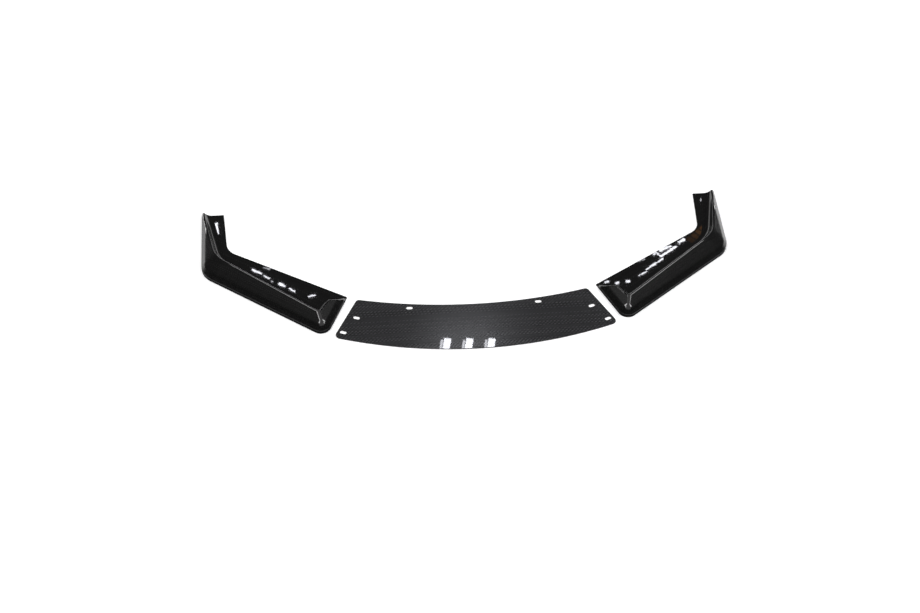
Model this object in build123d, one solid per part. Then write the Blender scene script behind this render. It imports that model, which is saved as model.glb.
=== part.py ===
from build123d import *
import math
import os

# Three-piece carbon front lip for a car, laid out as it lies on the floor before fitting: a flat centre
# plate and a mirrored pair of corner pieces. Millimetres, +Z up, the front edge faces -Y, and the origin is
# on the floor under the middle of the set's box.

# Laminate
wall = 3.0
edge_break = 0.8

# Centre plate
plate_front_width = 911.0
plate_rear_width = 754.0
plate_end_depth = 151.0
plate_front_bow = 75.0
plate_rear_bow = 43.0
plate_front_round = 16.0
plate_rear_round = 12.0

# Screw slots in the plate
slot_length = 22.0
slot_width = 12.0
rear_slot_spacing = 419.0
rear_slot_edge = 17.0
end_slot_turn = 20.0
end_slot_insets = (19.0, 32.0)
end_slot_heights = (30.0, 101.0)

# Plan of a corner piece, with angles from the X axis
end_gap = 24.0
nose_setback = 2.0
end_angle = 114.0
end_length = 176.0
front_angle = 35.2
front_length = 490.0
side_angle = 87.9
tail_depth = 275.0
rear_angle = 30.2
rear_length = 453.0
tail_inner_angle = 84.3
nose_round = 33.0
corner_round = 75.0
rear_bend_round = 60.0

# Raised rim of a corner piece: heights above the floor, slopes from level
skirt_height = 12.0
skirt_round = 4.0
cheek_slope = 48.0
cheek_height = 28.0
cheek_round = 24.0
face_slope = 29.0
nose_rim_height = 46.5
end_rim_height = 50.0
corner_rim_height = 56.0
side_rim_height = 51.5
tail_rim_height = 21.0
shoulder_rim_height = 41.5
shoulder_reach = 124.0
crest_round = 5.0
nose_crest_round = 7.0
corner_crest_round = 130.0

# Channel behind the rim
channel_slope = 72.0
channel_round = 28.0
well_floor_round = 3.0
well_peak_round = 4.0
well_corner_round = 120.0
shoulder_peak_round = 6.5

roof = corner_rim_height + wall
margin = 30.0
touching = 1e-3

cot_cheek = 1 / math.tan(math.radians(cheek_slope))
cot_face = 1 / math.tan(math.radians(face_slope))
cot_channel = 1 / math.tan(math.radians(channel_slope))
channel_lead = math.tan(math.radians(channel_slope) / 2)


def polar(angle, length):
    return Vector(length * math.cos(math.radians(angle)), length * math.sin(math.radians(angle)))


def meet(a0, a1, b0, b1):
    """The point where the line a0-a1 crosses the line b0-b1."""
    da = a1 - a0
    db = b1 - b0
    along = (b0 - a0).cross(db).Z / da.cross(db).Z
    return a0 + da * along


def moved_outline(corners, shifts):
    """Corners of an outline whose sides move inwards, each by its own distance at its start and end."""
    sides = []
    for i, (near, far) in enumerate(shifts):
        start = corners[i]
        end = corners[(i + 1) % len(corners)]
        inwards = (end - start).normalized().rotate(Axis.Z, 90)
        sides.append((start + inwards * near, end + inwards * far))
    return [meet(*sides[i - 1], *sides[i]) for i in range(len(sides))]


def outline(corners, rounds, height):
    return Pos(0, 0, height) * FilletPolyline(*corners, radius=rounds, close=True)


def drafted(lower, upper):
    """Solid between two level outlines: flat walls between straight sides, cones or ruled between arcs."""
    walls = [make_face(lower), make_face(upper)]
    for low, high in zip(lower.edges(), upper.edges()):
        if low.geom_type == GeomType.LINE:
            walls.append(Face(Wire.make_polygon([low @ 0, low @ 1, high @ 1, high @ 0])))
        elif (low.arc_center - high.arc_center).cross(Vector(0, 0, 1)).length < touching:
            spin = Axis(low.arc_center, (low % 0).cross(low % 1))
            walls.append(Face.revolve(Line(low @ 0, high @ 0), (low % 0).get_angle(low % 1), spin))
        else:
            walls.append(Face.make_surface_from_curves(low, high))
    return Solid(Shell(walls))


# Plan points of the corner piece at +X
nose = Vector(plate_front_width / 2 + end_gap, nose_setback)
heel = nose + polar(end_angle, end_length)
corner = nose + polar(front_angle, front_length)
tail_y = corner.Y + tail_depth
tail_outer = meet(corner, corner + polar(side_angle, 1), Vector(0, tail_y), Vector(1, tail_y))
rear_bend = heel + polar(rear_angle, rear_length)
tail_inner = meet(rear_bend, rear_bend + polar(tail_inner_angle, 1), Vector(0, tail_y), Vector(1, tail_y))
far_corner = Vector(heel.X, tail_y)
shoulder = nose + polar(end_angle, shoulder_reach)
plan = [nose, corner, tail_outer, far_corner, heel]


def on_both(skin_a, skin_b, edge):
    middle = edge.position_at(0.5)
    return skin_a.distance_to(middle) < touching and skin_b.distance_to(middle) < touching


def turn_drop(upper, lower):
    """How far a skin's turn from one slope to another comes down per millimetre that the skin moves in."""
    return math.cos(math.radians(upper + lower) / 2) / math.cos(math.radians(upper - lower) / 2)


def rim_mass(inset, overrun):
    """All that lies under the sloping outer faces, held in from them and carried past the open sides."""
    turn = skirt_height - inset * turn_drop(cheek_slope, 90)
    knee = cheek_height - inset * turn_drop(face_slope, cheek_slope)
    knee_shift = inset + (knee - turn) * cot_cheek
    knee_round = corner_round - knee_shift
    hip_top = knee + (nose_round - nose_crest_round + inset - knee_shift) / cot_face
    outlines = []
    for level in (turn, knee, hip_top, roof):
        above = max(level - knee, 0)
        shift = inset if level == turn else knee_shift + above * cot_face
        corners = moved_outline(plan, [(shift, shift)] * 2 + [(-overrun, -overrun)] * 2 + [(shift, shift)])
        hip_round = max(nose_round - shift, nose_crest_round - inset)
        widening = (corner_crest_round - inset - knee_round) * above / (roof - knee)
        bend_round = corner_round - min(shift, knee_shift) + widening
        outlines.append(outline(corners, [hip_round, bend_round, 0, 0, 0], level))
    mass = extrude(make_face(outlines[0]), -turn - overrun)
    for lower, upper in zip(outlines, outlines[1:]):
        mass += drafted(lower, upper)
    return mass


def foot_offset(rim_height):
    """Distance from the outer edge to the foot of the channel wall behind a rim of this height."""
    cheek = (min(rim_height, cheek_height) - skirt_height) * cot_cheek
    face = max(rim_height - cheek_height, 0) * cot_face
    return cheek + face + (rim_height - wall) * cot_channel


def channel_space(grow, nose_rounds):
    """The space behind the rim, where the bumper sits, grown on all sides."""
    floor = wall - grow
    top = roof + wall
    run_out = -channel_round * channel_lead
    corner_foot = foot_offset(corner_rim_height)
    shoulder_foot = foot_offset(shoulder_rim_height)
    front_foot = (foot_offset(nose_rim_height), corner_foot)
    side_foot = (foot_offset(side_rim_height), foot_offset(tail_rim_height))
    open_foot = (-margin, -margin)
    end_feet = [(run_out, shoulder_foot), (shoulder_foot, foot_offset(end_rim_height))]
    feet = moved_outline(plan + [shoulder], [front_foot, side_foot, open_foot, open_foot] + end_feet)
    step = grow * channel_lead
    outlines = []
    levels = ((floor, step), (top, step + (top - floor) * cot_channel))
    for (height, out), at_nose in zip(levels, nose_rounds):
        corners = moved_outline(feet, [(-out, -out)] * 2 + [(0, 0)] * 2 + [(-out, -out)] * 2)
        shoulder_round = shoulder_peak_round + roof * cot_channel - out
        rounds = [at_nose, well_corner_round + out, 0, 0, 0, shoulder_round]
        outlines.append(outline(corners, rounds, height))
    space = drafted(*outlines)
    open_corner = Vertex(feet[3].X, feet[3].Y, floor)
    floor_edges = [e for e in space.edges().group_by(Axis.Z)[0] if e.distance_to(open_corner) > touching]
    return fillet(floor_edges, channel_round + grow)


def round_turn(mass, level, radius):
    """The rim's mass with the turn of its outer skin at one level rounded, but not its open sides."""
    open_corner = Vertex(far_corner.X, far_corner.Y, level)
    edges = [e for e in mass.edges() if abs(e.position_at(0.5).Z - level) < touching]
    return fillet([e for e in edges if e.distance_to(open_corner) > touching], radius)


def corner_piece():
    mass = round_turn(rim_mass(0, 0), cheek_height, cheek_round)
    mass = round_turn(mass, skirt_height, skirt_round)
    space = channel_space(0, (well_floor_round + channel_round * channel_lead, well_peak_round))
    before_heel = heel - polar(rear_angle, margin)
    behind = [
        before_heel,
        rear_bend,
        tail_inner,
        tail_inner + Vector(0, margin),
        Vector(before_heel.X, tail_y + margin),
    ]
    trim = make_face(outline(behind, [0, rear_bend_round, 0, 0, 0], -margin))
    body = mass - space - extrude(trim, roof + 2 * margin)
    mass_skin = mass.shell()
    space_skin = space.shell()
    crest = [
        e
        for e in body.edges()
        if e.position_at(0.5).Z > skirt_height
        and e.position_at(0.5).Y < tail_y - touching
        and on_both(mass_skin, space_skin, e)
    ]
    body = fillet(crest, crest_round)
    return body - (rim_mass(wall, margin) - channel_space(wall, (0, 0)))


def arc_radius(width, bow):
    return ((width / 2) ** 2 + bow**2) / (2 * bow)


def centre_plate():
    front = plate_front_width / 2
    rear = plate_rear_width / 2
    rear_middle = plate_end_depth - plate_rear_bow
    border = [
        ThreePointArc((-front, 0), (0, -plate_front_bow), (front, 0)),
        Line((front, 0), (rear, plate_end_depth)),
        ThreePointArc((rear, plate_end_depth), (0, rear_middle), (-rear, plate_end_depth)),
        Line((-rear, plate_end_depth), (-front, 0)),
    ]
    face = make_face(border)
    face = fillet(face.vertices().group_by(Axis.Y)[0], plate_front_round)
    face = fillet(face.vertices().group_by(Axis.Y)[-1], plate_rear_round)
    plate = extrude(face, wall)
    plate = chamfer(plate.edges().filter_by(Plane.XY), edge_break)
    slot = extrude(SlotOverall(slot_length, slot_width), wall)
    rear_radius = arc_radius(plate_rear_width, plate_rear_bow)
    slot_x = rear_slot_spacing / 2
    slot_y = rear_middle + rear_radius - math.sqrt(rear_radius**2 - slot_x**2) - rear_slot_edge
    end = Vector(rear - front, plate_end_depth).normalized()
    for side in (1, -1):
        plate -= Pos(side * slot_x, slot_y) * slot
        for inset, height in zip(end_slot_insets, end_slot_heights):
            spot = Vector(front, 0) + end * height + end.rotate(Axis.Z, 90) * inset
            plate -= Pos(side * spot.X, spot.Y) * Rot(0, 0, side * end_slot_turn) * slot
    return plate


to_middle = Pos(0, (plate_front_bow - tail_y) / 2)
left_corner = to_middle * corner_piece()
pieces = {
    "centre_plate": to_middle * centre_plate(),
    "left_corner": left_corner,
    "right_corner": mirror(left_corner, about=Plane.YZ),
}
os.makedirs("parts", exist_ok=True)
for node, solid in pieces.items():
    export_step(solid, f"parts/{node}.step")
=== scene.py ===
import math

import bmesh
import bpy
from mathutils import Matrix, Vector

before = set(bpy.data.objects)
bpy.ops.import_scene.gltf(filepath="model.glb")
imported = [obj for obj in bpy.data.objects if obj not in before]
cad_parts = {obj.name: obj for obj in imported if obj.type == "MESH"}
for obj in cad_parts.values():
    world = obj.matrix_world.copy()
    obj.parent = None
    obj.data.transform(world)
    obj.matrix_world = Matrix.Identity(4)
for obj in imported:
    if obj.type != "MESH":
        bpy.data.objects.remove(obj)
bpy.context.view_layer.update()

scene = bpy.context.scene
scene.view_settings.view_transform = "Standard"

# Centre plate: one flat sheet of 2x2 twill carbon cloth in epoxy, pressed under glass and cut to outline with
# six slots for its screws. The tows that run across the car are painted lighter than those that run along it,
# a painted sheen for the light that they throw back. A clear lacquer lies over them, and the sawn edge shows
# the bare plies.
plate_tow = 0.0030
# Painted sheen: the tows across the car take the lighter colour, those along it the darker.
plate_across = (0.044, 0.044, 0.0455, 1)
plate_along = (0.005, 0.005, 0.0055, 1)
plate_roughness = (0.27, 0.18)
plate_shine = 1.0
plate_thickness = 0.003
twill_repeat = 4
tows_over = 2
tow_tones = (0.55, 1.45)
# Painted shade: each tow is painted darker towards its edges, where the grooves between tows lie.
painted_groove_shade = 0.5
tow_crown = 0.00006
crown_strength = 0.5
lacquer_roughness = 0.02
sawn_ply = (0.008, 0.008, 0.009, 1)
sawn_resin = (0.004, 0.004, 0.004, 1)
sawn_roughness = 0.7
sawn_upright = 0.3
ply_thickness = 0.0004


def new_node(tree, kind, **settings):
    """A node of a kind in a tree, with its settings."""
    node = tree.nodes.new(kind)
    for name, value in settings.items():
        setattr(node, name, value)
    return node


def maths(tree, operation, *terms):
    """A maths node whose inputs are links or plain numbers; its output socket."""
    node = new_node(tree, "ShaderNodeMath", operation=operation)
    for socket, term in zip(node.inputs, terms):
        if isinstance(term, (int, float)):
            socket.default_value = term
        else:
            tree.links.new(term, socket)
    return node.outputs[0]


def blended(tree, factor, first, second, kind="FLOAT", how="MIX"):
    """A mix of two links, plain numbers or colours; its output socket."""
    node = new_node(tree, "ShaderNodeMix", data_type=kind, blend_type=how)
    names = ("Factor", "A", "B")
    for name, term in zip(names, (factor, first, second)):
        socket = next(s for s in node.inputs if s.name == name and s.enabled)
        if isinstance(term, bpy.types.NodeSocket):
            tree.links.new(term, socket)
        else:
            socket.default_value = term
    return next(s for s in node.outputs if s.enabled)


def new_group(name, inputs, outputs):
    """An empty shader node group with its input and output nodes."""
    group = bpy.data.node_groups.new(name, "ShaderNodeTree")
    for side, sockets in (("INPUT", inputs), ("OUTPUT", outputs)):
        for socket, kind in sockets.items():
            group.interface.new_socket(socket, in_out=side, socket_type="NodeSocket" + kind)
    return group, new_node(group, "NodeGroupInput"), new_node(group, "NodeGroupOutput")


def twill_weave():
    """Group that turns a place on the cloth into its tow's colour, in the tow's own tone, and its crown. The
    colour holds a painted sheen, lighter on the tows of one direction, and painted shade at each tow's edges.
    """
    inputs = {"Place": "Vector", "Tow": "Float", "Across": "Color", "Along": "Color"}
    group, given, put_out = new_group("twill_weave", inputs, {"Color": "Color", "Crown": "Float"})
    place = new_node(group, "ShaderNodeSeparateXYZ")
    group.links.new(given.outputs["Place"], place.inputs[0])
    u = maths(group, "DIVIDE", place.outputs["X"], given.outputs["Tow"])
    v = maths(group, "DIVIDE", place.outputs["Y"], given.outputs["Tow"])
    column = maths(group, "FLOOR", u)
    row = maths(group, "FLOOR", v)
    step = maths(group, "FLOORED_MODULO", maths(group, "SUBTRACT", column, row), twill_repeat)
    on_top = maths(group, "LESS_THAN", step, tows_over - 0.5)
    side = blended(group, on_top, maths(group, "FRACT", v), maths(group, "FRACT", u))
    off_middle = maths(group, "MULTIPLY_ADD", side, 2.0, -1.0)
    crown = maths(group, "SUBTRACT", 1.0, maths(group, "MULTIPLY", off_middle, off_middle))
    # Painted sheen: the tows of one direction take the lighter Across colour, the others the darker Along
    # colour.
    tow = blended(group, on_top, given.outputs["Across"], given.outputs["Along"], "RGBA")
    chance = new_node(group, "ShaderNodeTexWhiteNoise", noise_dimensions="1D")
    group.links.new(blended(group, on_top, row, column), chance.inputs["W"])
    tone = blended(group, chance.outputs["Value"], *tow_tones)
    # Painted shade: the colour darkens towards each tow's edges, in the grooves between tows.
    shade = maths(group, "MULTIPLY", tone, blended(group, crown, painted_groove_shade, 1.0))
    group.links.new(blended(group, 1.0, tow, shade, "RGBA", "MULTIPLY"), put_out.inputs["Color"])
    group.links.new(crown, put_out.inputs["Crown"])
    return group


def cut_edge():
    """Group that marks the steep faces below a height, where the laminate is trimmed, and bands its plies."""
    inputs = {"Place": "Vector", "Facing": "Vector", "Height": "Float", "Ply": "Float"}
    group, given, put_out = new_group("cut_edge", inputs, {"Mask": "Float", "Ply": "Float"})
    place = new_node(group, "ShaderNodeSeparateXYZ")
    facing = new_node(group, "ShaderNodeSeparateXYZ")
    group.links.new(given.outputs["Place"], place.inputs[0])
    group.links.new(given.outputs["Facing"], facing.inputs[0])
    steep = maths(group, "LESS_THAN", maths(group, "ABSOLUTE", facing.outputs["Z"]), sawn_upright)
    below = maths(group, "LESS_THAN", place.outputs["Z"], given.outputs["Height"])
    group.links.new(maths(group, "MULTIPLY", steep, below), put_out.inputs["Mask"])
    ply = maths(group, "PINGPONG", maths(group, "DIVIDE", place.outputs["Z"], given.outputs["Ply"]), 1.0)
    group.links.new(ply, put_out.inputs["Ply"])
    return group


weave = twill_weave()
trimmed = cut_edge()


def carbon(material, cloth_place, tow, across, along, roughness, shine, trim_height):
    """Lacquered carbon cloth in a material, with bare plies where the laminate is trimmed; its weave bump."""
    tree = material.node_tree
    shader = tree.nodes["Principled BSDF"]
    place = new_node(tree, "ShaderNodeTexCoord")
    cloth = new_node(tree, "ShaderNodeGroup", node_tree=weave)
    cloth.inputs["Tow"].default_value = tow
    cloth.inputs["Across"].default_value = across
    cloth.inputs["Along"].default_value = along
    tree.links.new(cloth_place, cloth.inputs["Place"])
    edge = new_node(tree, "ShaderNodeGroup", node_tree=trimmed)
    edge.inputs["Height"].default_value = trim_height
    edge.inputs["Ply"].default_value = ply_thickness
    tree.links.new(place.outputs["Object"], edge.inputs["Place"])
    tree.links.new(place.outputs["Normal"], edge.inputs["Facing"])
    plies = blended(tree, edge.outputs["Ply"], sawn_resin, sawn_ply, "RGBA")
    colour = blended(tree, edge.outputs["Mask"], cloth.outputs["Color"], plies, "RGBA")
    tree.links.new(colour, shader.inputs["Base Color"])
    fibre = blended(tree, cloth.outputs["Crown"], *roughness)
    tree.links.new(blended(tree, edge.outputs["Mask"], fibre, sawn_roughness), shader.inputs["Roughness"])
    tree.links.new(maths(tree, "SUBTRACT", 1.0, edge.outputs["Mask"]), shader.inputs["Coat Weight"])
    shader.inputs["Specular IOR Level"].default_value = shine
    shader.inputs["Coat Roughness"].default_value = lacquer_roughness
    bump = new_node(tree, "ShaderNodeBump")
    bump.inputs["Strength"].default_value = crown_strength
    bump.inputs["Distance"].default_value = tow_crown
    tree.links.new(cloth.outputs["Crown"], bump.inputs["Height"])
    tree.links.new(bump.outputs["Normal"], shader.inputs["Normal"])
    return bump


def new_material(name):
    material = bpy.data.materials.new(name)
    material.use_nodes = True
    return material


def dress(node, material):
    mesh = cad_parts[node].data
    mesh.materials.clear()
    mesh.materials.append(material)


plate_carbon = new_material("carbon_plate")
plate_place = new_node(plate_carbon.node_tree, "ShaderNodeTexCoord")
carbon(plate_carbon, plate_place.outputs["Object"], plate_tow, plate_across, plate_along, plate_roughness,
       plate_shine, plate_thickness)
dress("centre_plate", plate_carbon)

# Corner pieces: two mirrored mouldings of the same cloth, laid by hand into a mould over a raised rim with a
# channel behind it. The cloth follows the arm of each piece and runs down its walls, the lacquer over it is
# deep and a little wavy, and the foot of the skirt is trimmed and left matt.
corner_tow = 0.0022
# Painted sheen: the tows of one direction are painted a little lighter than the other, for the light they
# throw back.
corner_across = (0.0070, 0.0070, 0.0066, 1)
corner_along = (0.0048, 0.0048, 0.0045, 1)
corner_roughness = (0.40, 0.30)
corner_shine = 0.06
arm_turn = math.radians(35.2)
wall_upright = 0.5
foot_height = 0.0113
lacquer_wave = 0.022
lacquer_detail = 1.0
lacquer_depth = 0.00002

corner_carbon = new_material("carbon_corner")
corner_tree = corner_carbon.node_tree
corner_place = new_node(corner_tree, "ShaderNodeTexCoord")
spot = new_node(corner_tree, "ShaderNodeSeparateXYZ")
facing = new_node(corner_tree, "ShaderNodeSeparateXYZ")
corner_tree.links.new(corner_place.outputs["Object"], spot.inputs[0])
corner_tree.links.new(corner_place.outputs["Normal"], facing.inputs[0])
outwards = maths(corner_tree, "ABSOLUTE", spot.outputs["X"])
rearwards = spot.outputs["Y"]
along_arm = maths(
    corner_tree, "ADD",
    maths(corner_tree, "MULTIPLY", outwards, math.cos(arm_turn)),
    maths(corner_tree, "MULTIPLY", rearwards, math.sin(arm_turn)),
)
across_arm = maths(
    corner_tree, "SUBTRACT",
    maths(corner_tree, "MULTIPLY", rearwards, math.cos(arm_turn)),
    maths(corner_tree, "MULTIPLY", outwards, math.sin(arm_turn)),
)
on_wall = maths(corner_tree, "LESS_THAN", maths(corner_tree, "ABSOLUTE", facing.outputs["Z"]), wall_upright)
laid = new_node(corner_tree, "ShaderNodeCombineXYZ")
corner_tree.links.new(along_arm, laid.inputs["X"])
corner_tree.links.new(blended(corner_tree, on_wall, across_arm, spot.outputs["Z"]), laid.inputs["Y"])
cloth_bump = carbon(corner_carbon, laid.outputs[0], corner_tow, corner_across, corner_along, corner_roughness,
                    corner_shine, foot_height)
waves = new_node(corner_tree, "ShaderNodeTexNoise")
waves.inputs["Scale"].default_value = 1 / lacquer_wave
waves.inputs["Detail"].default_value = lacquer_detail
corner_tree.links.new(corner_place.outputs["Object"], waves.inputs["Vector"])
lacquer = new_node(corner_tree, "ShaderNodeBump")
lacquer.inputs["Distance"].default_value = lacquer_depth
corner_tree.links.new(waves.outputs["Fac"], lacquer.inputs["Height"])
corner_tree.links.new(lacquer.outputs["Normal"], cloth_bump.inputs["Normal"])
corner_tree.links.new(lacquer.outputs["Normal"], corner_tree.nodes["Principled BSDF"].inputs["Coat Normal"])
for node in ("left_corner", "right_corner"):
    dress(node, corner_carbon)

# Floor: a plain white studio floor, painted matt and wider than the view, that takes the soft shadows of the
# pieces. The lamps light its middle, and a lift that only the camera and the gloss see keeps it white to the
# horizon.
floor_size = 60.0
floor_drop = 0.0005
floor_colour = (0.90, 0.90, 0.90, 1)
floor_roughness = 0.9
floor_lift = 0.30
floor_far_lift = 1.0
floor_far = (3.0, 9.0)

sheet = bmesh.new()
bmesh.ops.create_grid(sheet, x_segments=1, y_segments=1, size=floor_size / 2)
floor_mesh = bpy.data.meshes.new("floor")
sheet.to_mesh(floor_mesh)
sheet.free()
floor = bpy.data.objects.new("floor", floor_mesh)
floor.location.z = -floor_drop
scene.collection.objects.link(floor)
white_paint = new_material("white_floor")
floor_tree = white_paint.node_tree
floor_shader = floor_tree.nodes["Principled BSDF"]
floor_shader.inputs["Base Color"].default_value = floor_colour
floor_shader.inputs["Roughness"].default_value = floor_roughness
floor_shader.inputs["Specular IOR Level"].default_value = 0.0
floor_shader.inputs["Emission Color"].default_value = (1, 1, 1, 1)
floor_place = new_node(floor_tree, "ShaderNodeTexCoord")
away = new_node(floor_tree, "ShaderNodeVectorMath", operation="LENGTH")
floor_tree.links.new(floor_place.outputs["Object"], away.inputs[0])
lift = new_node(floor_tree, "ShaderNodeMapRange", interpolation_type="SMOOTHSTEP")
lift.inputs["From Min"].default_value, lift.inputs["From Max"].default_value = floor_far
lift.inputs["To Min"].default_value = floor_lift
lift.inputs["To Max"].default_value = floor_far_lift
floor_tree.links.new(away.outputs["Value"], lift.inputs["Value"])
seen = new_node(floor_tree, "ShaderNodeLightPath")
mirrored = maths(floor_tree, "MAXIMUM", seen.outputs["Is Glossy Ray"], seen.outputs["Is Transmission Ray"])
shown = maths(floor_tree, "MAXIMUM", seen.outputs["Is Camera Ray"], mirrored)
shown_lift = maths(floor_tree, "MULTIPLY", shown, lift.outputs[0])
floor_tree.links.new(shown_lift, floor_shader.inputs["Emission Strength"])
floor_mesh.materials.append(white_paint)

# Camera: on a stand in front of the set and above it, a little towards the car's right, and held a touch out
# of level. It looks down on the pieces at about half a right angle.
view_target = Vector((-0.046, -0.1412, 0))
view_distance = 4.041
view_azimuth = math.radians(-6.74)
view_elevation = math.radians(50.0)
view_roll = math.radians(2.18)
view_sensor_mm = 36.0
view_lens_mm = 48.913
view_reach = 100.0

back = Vector((
    math.sin(view_azimuth) * math.cos(view_elevation),
    -math.cos(view_azimuth) * math.cos(view_elevation),
    math.sin(view_elevation),
))
level = Vector((math.cos(view_azimuth), math.sin(view_azimuth), 0))
right = level * math.cos(view_roll) + back.cross(level) * math.sin(view_roll)
up = back.cross(right)
eye = view_target + back * view_distance
camera = bpy.data.cameras.new("camera")
camera.sensor_width = view_sensor_mm
camera.sensor_fit = "HORIZONTAL"
camera.lens = view_lens_mm
camera.clip_end = view_reach
stand = bpy.data.objects.new("camera", camera)
stand.matrix_world = Matrix.Translation(eye) @ Matrix((right, up, back)).transposed().to_4x4()
scene.collection.objects.link(stand)
scene.camera = stand

# Light: a wide soft box overhead with a long strip to each side, in a room with a dim ceiling and pale walls.
# The strips draw the lines on the crests and hips, faint boards lighten the inner ends and low doorways the
# tails. Each kind hangs at its own height, since lamps in one plane hide each other in a mirror.
ceiling = (0.050, 0.0495, 0.054, 1)
walls = (0.7, 0.7, 0.7, 1)
walls_fade = 0.15
box_height = 5.0
strip_height = 4.9
board_height = 4.8
board_size = (1.4, 1.8)
board_power = 1.2
upright = math.radians(90)
doorway_turn = math.radians(133)

room = bpy.data.worlds.new("room")
room.use_nodes = True
room_tree = room.node_tree
direction = new_node(room_tree, "ShaderNodeTexCoord")
rise = new_node(room_tree, "ShaderNodeSeparateXYZ")
room_tree.links.new(direction.outputs["Generated"], rise.inputs[0])
fade = new_node(room_tree, "ShaderNodeMapRange", interpolation_type="SMOOTHSTEP")
fade.inputs["From Max"].default_value = walls_fade
room_tree.links.new(rise.outputs["Z"], fade.inputs["Value"])
room_colour = blended(room_tree, fade.outputs[0], walls, ceiling, "RGBA")
room_tree.links.new(room_colour, room_tree.nodes["Background"].inputs["Color"])
scene.world = room


def lamp(name, middle, size, power, turn=0, colour=(1, 1, 1), tilt=0):
    """A flat lamp that faces down, or sideways when tilted, and that the camera itself doesn't see."""
    light = bpy.data.lights.new(name, "AREA")
    light.color = colour
    light.shape = "RECTANGLE"
    light.size, light.size_y = size
    light.energy = power
    holder = bpy.data.objects.new(name, light)
    holder.location = middle
    holder.rotation_euler = (tilt, 0, turn)
    holder.visible_camera = False
    scene.collection.objects.link(holder)


lamp("soft_box", middle=(0.75, -2.0, box_height), size=(7.3, 8.0), power=150)
lamp("right_strip", middle=(-2.35, 0.1, strip_height), size=(1.0, 4.6), power=150)
lamp("left_strip", middle=(3.9, 0.1, strip_height), size=(1.2, 4.6), power=180)
lamp("right_board", middle=(-3.2, 1.35, board_height), size=board_size, power=board_power)
lamp("left_board", middle=(4.8, 1.9, board_height), size=board_size, power=board_power)
lamp("right_doorway", middle=(-5.18, 4.43, 0.5), size=(0.5, 0.8), power=21, turn=-doorway_turn, tilt=upright)
lamp("left_doorway", middle=(5.30, 4.30, 0.28), size=(0.5, 0.45), power=12, turn=doorway_turn, tilt=upright)

# Windows: small bright panes high in the room, and a slatted wooden board, that the gloss mirrors. Each is
# given by the place on the level faces where the camera finds it, the size that it shows there in metres, its
# turn in degrees and its strength beside a full pane.
pane_height = 2.0
pane_power = 80
daylight = (0.93, 0.94, 1.0)


def pane(name, shows_at, shown_size, turn=0, strength=1.0, colour=daylight):
    """A lamp hung where the camera finds its mirror image at a place on the level faces."""
    spread = (pane_height + eye.z) / eye.z
    middle = eye.xy + (Vector(shows_at) - eye.xy) * spread
    size = [length * spread for length in shown_size]
    power = pane_power * strength * size[0] * size[1]
    lamp(name, (middle.x, middle.y, pane_height), size, power, math.radians(turn), colour)


plate_panes = 3
plate_pane_first = Vector((-0.101, -0.293))
plate_pane_step = Vector((0.070, -0.005))
plate_pane_size = (0.022, 0.042)
plate_slat_shift = Vector((-0.018, -0.002))
plate_slat_size = (0.007, 0.038)
plate_slat_strength = 0.5
plate_pane_turn = -12
for i in range(plate_panes):
    shows_at = plate_pane_first + plate_pane_step * i
    slat_at = shows_at + plate_slat_shift
    pane(f"plate_pane_{i}", shows_at, plate_pane_size, plate_pane_turn)
    pane(f"plate_slat_{i}", slat_at, plate_slat_size, plate_pane_turn, plate_slat_strength)

pane("right_arm_strip", (-0.700, 0.050), (0.040, 0.006), -36)
pane("right_arm_thin", (-0.668, 0.024), (0.028, 0.004), -36)
pane("right_arm_dot", (-0.650, 0.004), (0.006, 0.006), 0, 0.6)
pane("right_arm_pane", (-0.618, -0.013), (0.024, 0.008), -30)
pane("right_arm_end", (-0.585, -0.037), (0.024, 0.006), -36)
pane("right_nose_pane", (-0.521, -0.067), (0.026, 0.006), 18)
pane("right_edge_pane", (-0.668, 0.062), (0.024, 0.003), -24, 0.5)
pane("right_tail_pane", (-0.837, 0.255), (0.009, 0.052), 10)

pane("left_arm_rear", (0.668, 0.064), (0.048, 0.010), 25)
pane("left_arm_front", (0.677, 0.050), (0.076, 0.009), 33)
pane("left_arm_jamb", (0.641, 0.039), (0.022, 0.006), -52)
pane("left_arm_hook", (0.630, 0.043), (0.020, 0.005), 31)
pane("left_arm_far", (0.730, 0.094), (0.030, 0.010), 33)
pane("left_arm_strip", (0.619, -0.004), (0.083, 0.005), 33)
pane("left_arm_low", (0.572, -0.044), (0.036, 0.004), 28)
pane("left_edge_pane", (0.580, 0.017), (0.028, 0.003), 30, 0.4)
pane("left_heel_pane", (0.446, -0.072), (0.016, 0.006), 10)

nose_panes = 2
nose_pane_first = Vector((0.480, -0.078))
nose_pane_step = Vector((0.036, 0.004))
nose_pane_size = (0.014, 0.006)
nose_pane_turn = 6
for i in range(nose_panes):
    pane(f"left_nose_pane_{i}", nose_pane_first + nose_pane_step * i, nose_pane_size, nose_pane_turn)

bend_slats = 4
bend_slat_first = Vector((0.776, 0.081))
bend_slat_step = Vector((0.019, 0.016))
bend_slat_size = (0.019, 0.070)
bend_slat_turn = 40
bend_slat_strength = 0.012
bend_slat_gain = 0.010
wood = (1.0, 0.42, 0.10)
for i in range(bend_slats):
    slat_at = bend_slat_first + bend_slat_step * i
    strength = bend_slat_strength + bend_slat_gain * i
    pane(f"left_bend_slat_{i}", slat_at, bend_slat_size, bend_slat_turn, strength, wood)
pane("left_tail_pane", (0.838, 0.285), (0.004, 0.016), -20, 0.5)
